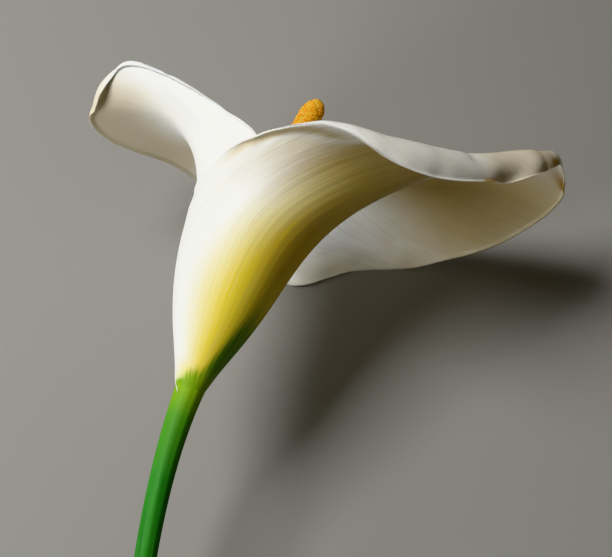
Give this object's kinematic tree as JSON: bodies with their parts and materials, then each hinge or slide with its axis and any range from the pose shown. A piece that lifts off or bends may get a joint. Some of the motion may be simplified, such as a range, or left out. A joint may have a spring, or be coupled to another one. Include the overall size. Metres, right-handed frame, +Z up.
{
  "type": "arum lily flower",
  "caption": "Cut arum lily flower on its stem, lying on its side: a white funnel-shaped spathe round an orange-yellow spadix.",
  "frame": {"origin": "on the table, under the centre of the box round the whole flower", "axes": "+Y runs from the cut end of the stem to the flower's mouth, +X towards the spathe's pointed tip, +Z up from the table"},
  "size_m": [0.163, 0.2611, 0.107],
  "materials": {
    "stem_green": "living green stalk, soft satin skin, stands in for plant tissue",
    "spathe_white": "white bract, waxy satin, yellow and green at its foot, stands in for plant tissue",
    "ovary_green": "pale green ovaries, satin, stand in for plant tissue",
    "pollen_orange": "powdery orange-yellow pollen, matte, stands in for plant tissue"
  },
  "bodies": {
    "root": {"stem": "stem_green", "spathe": "spathe_white", "spadix_ovary_zone": "ovary_green", "spadix_pollen_zone": "pollen_orange"}
  },
  "joints": []
}
